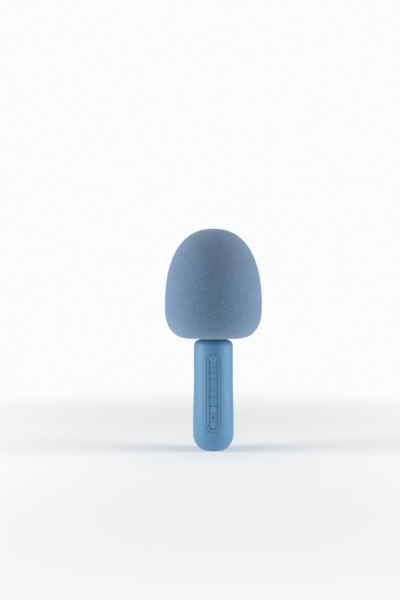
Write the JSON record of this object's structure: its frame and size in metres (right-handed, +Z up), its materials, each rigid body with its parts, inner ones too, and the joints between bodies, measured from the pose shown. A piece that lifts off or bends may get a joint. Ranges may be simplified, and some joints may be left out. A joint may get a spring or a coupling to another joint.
{
  "type": "wireless karaoke microphone",
  "caption": "Handheld karaoke microphone: egg-shaped foam head with a speaker inside, two-shell round handle, pill-shaped key strip on the front.",
  "frame": {"origin": "centre of the flat foot under the handle, at the bottom of the bounding box", "axes": "+Z up along the microphone's own axis, -Y out of the face that carries the keys, +X to the right of someone who looks at the keys"},
  "size_m": [0.0968, 0.0968, 0.22],
  "materials": {
    "foam": "open-cell foam, matt",
    "shell_blue": "soft-touch, matt",
    "key_blue": "soft-touch, matt, raised symbols",
    "head_plastic": "fine texture, matt",
    "cage_plastic": "moulded, matt",
    "baffle_plastic": "moulded, matt",
    "clear_plastic": "clear",
    "screw_steel": "zinc plated",
    "frame_steel": "black, pressed",
    "plate_steel": "zinc plated",
    "ferrite": "sintered, matt",
    "cone_paper": "pulp, matt",
    "spider_cloth": "impregnated cloth",
    "rubber_black": "matt",
    "gasket": "felt",
    "copper": "enamelled wire",
    "board_green": "solder mask",
    "chip_black": "moulded",
    "can_metal": "bright",
    "socket_white": "moulded",
    "cell_wrap": "shrink wrap",
    "pad_foam": "closed-cell foam",
    "port_steel": "stamped",
    "wire_red": "insulated",
    "wire_black": "insulated",
    "lamp": "moulded",
    "plunger_black": "moulded"
  },
  "bodies": {
    "microphone": {"foam_cover": "foam", "speaker_cage": "cage_plastic", "head_base": "head_plastic", "head_screws": "screw_steel", "baffle": "baffle_plastic", "speaker_frame": "frame_steel", "speaker_top_plate": "plate_steel", "speaker_magnet": "ferrite", "speaker_yoke": "plate_steel", "cone_surround": "rubber_black", "cone_spider": "spider_cloth", "speaker_gasket": "gasket", "speaker_terminals": "board_green", "speaker_screws": "screw_steel", "capsule_cup": "cage_plastic", "capsule_boot": "rubber_black", "mic_capsule": "can_metal", "capsule_felt": "gasket", "front_shell": "shell_blue", "rear_shell": "shell_blue", "case_screws": "screw_steel", "control_strip": "shell_blue", "status_light": "clear_plastic", "status_lamp": "lamp", "key_switches": "can_metal", "main_board": "board_green", "wireless_module": "board_green", "wireless_shield": "can_metal", "amplifier_chip": "chip_black", "capacitors": "can_metal", "wire_sockets": "socket_white", "board_screws": "screw_steel", "battery_cell": "cell_wrap", "battery_pad": "pad_foam", "charge_board": "board_green", "charging_chip": "chip_black", "port_shell": "port_steel", "port_tongue": "chip_black", "mic_leads": "wire_black", "speaker_leads": "wire_red", "battery_leads": "wire_red", "charge_leads": "wire_red"},
    "power_body": {"power_key": "key_blue", "power_plunger": "plunger_black"},
    "volume_up_body": {"volume_up_key": "key_blue", "volume_up_plunger": "plunger_black"},
    "volume_down_body": {"volume_down_key": "key_blue", "volume_down_plunger": "plunger_black"},
    "voice_body": {"voice_key": "key_blue", "voice_plunger": "plunger_black"},
    "music_body": {"music_key": "key_blue", "music_plunger": "plunger_black"},
    "cone_body": {"speaker_cone": "cone_paper", "dust_cap": "cone_paper", "voice_coil": "copper"}
  },
  "joints": [
    {"name": "power_press", "type": "slide", "parent": "microphone", "child": "power_body", "axis": [0, 1, 0], "range_m": [0, 0.0005], "stiffness_N_per_m": 700, "springref_m": -0.001},
    {"name": "volume_up_press", "type": "slide", "parent": "microphone", "child": "volume_up_body", "axis": [0, 1, 0], "range_m": [0, 0.0005], "stiffness_N_per_m": 700, "springref_m": -0.001},
    {"name": "volume_down_press", "type": "slide", "parent": "microphone", "child": "volume_down_body", "axis": [0, 1, 0], "range_m": [0, 0.0005], "stiffness_N_per_m": 700, "springref_m": -0.001},
    {"name": "voice_press", "type": "slide", "parent": "microphone", "child": "voice_body", "axis": [0, 1, 0], "range_m": [0, 0.0005], "stiffness_N_per_m": 700, "springref_m": -0.001},
    {"name": "music_press", "type": "slide", "parent": "microphone", "child": "music_body", "axis": [0, 1, 0], "range_m": [0, 0.0005], "stiffness_N_per_m": 700, "springref_m": -0.001},
    {"name": "cone_travel", "type": "slide", "parent": "microphone", "child": "cone_body", "axis": [0, 0, 1], "range_m": [-0.0015, 0.0015], "stiffness_N_per_m": 1200}
  ]
}
